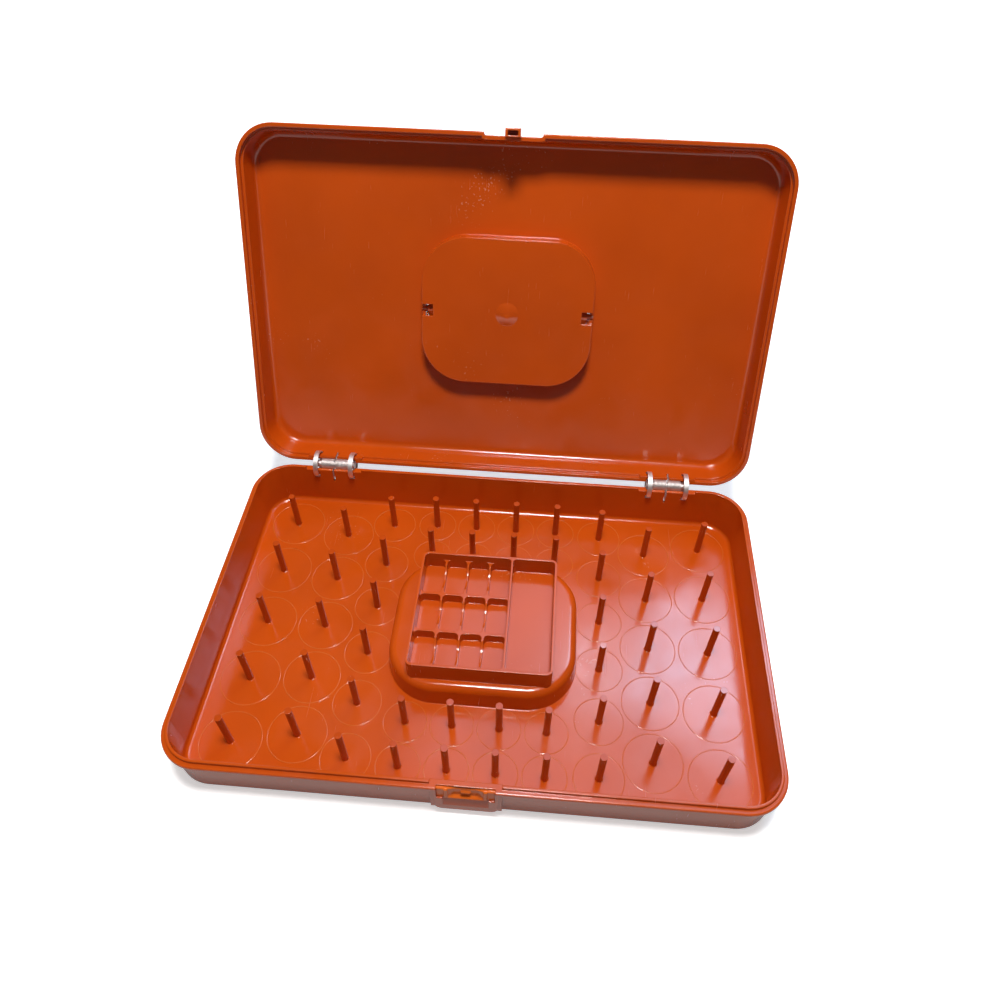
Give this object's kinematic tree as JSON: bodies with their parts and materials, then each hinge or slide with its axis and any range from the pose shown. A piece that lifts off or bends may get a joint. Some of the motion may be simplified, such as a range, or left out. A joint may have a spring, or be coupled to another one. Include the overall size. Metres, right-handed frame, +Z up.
{
  "type": "thread spool storage box",
  "caption": "Shallow hinged plastic box for thread spools: upright pins on the floor, a compartment tray on a centre pedestal, push-button latch and a carry handle folding into the lid.",
  "frame": {"origin": "centre of the base's underside, on the plane it rests on", "axes": "+X along the width to the right of someone facing the latch, +Y from the latch to the hinges, +Z up"},
  "size_m": [0.33, 0.3157, 0.2373],
  "materials": {
    "box_plastic": "moulded, glossy, light scuffs",
    "handle_plastic": "moulded, glossy",
    "hinge_steel": "bright zinc plate, finely ribbed"
  },
  "bodies": {
    "base": {"base_shell": "box_plastic", "compartment_tray": "box_plastic", "spool_pins_a": "box_plastic", "spool_pins_b": "box_plastic", "spool_pins_c": "box_plastic", "spool_pins_d": "box_plastic", "spool_pins_e": "box_plastic", "spool_pins_f": "box_plastic", "spool_pins_g": "box_plastic", "spool_pins_h": "box_plastic", "spool_pins_i": "box_plastic", "spool_pins_j": "box_plastic", "latch_spring": "hinge_steel", "hinge_left_pin": "hinge_steel", "hinge_left_coil_base": "hinge_steel", "hinge_left_ring_outer": "hinge_steel", "hinge_left_ring_inner": "hinge_steel", "hinge_right_pin": "hinge_steel", "hinge_right_coil_base": "hinge_steel", "hinge_right_ring_outer": "hinge_steel", "hinge_right_ring_inner": "hinge_steel"},
    "lid": {"lid_shell": "box_plastic", "hinge_left_coil_lid": "hinge_steel", "hinge_right_coil_lid": "hinge_steel"},
    "handle": {"carry_handle": "handle_plastic"},
    "button": {"latch_button": "box_plastic"}
  },
  "joints": [
    {"name": "lid_hinge", "type": "hinge", "parent": "base", "child": "lid", "pos_m": [0, 0.1091, 0.0321], "axis": [1, 0, 0], "range_deg": [0, 112.7]},
    {"name": "handle_pivot", "type": "hinge", "parent": "lid", "child": "handle", "pos_m": [0, 0.16458, 0.12715], "axis": [1, 0, 0], "range_deg": [-22.7, 157.3]},
    {"name": "button_press", "type": "slide", "parent": "base", "child": "button", "axis": [0, 1, 0], "range_m": [0, 0.0011], "stiffness_N_per_m": 700, "springref_m": -0.002, "deforming": ["latch_spring"]}
  ]
}
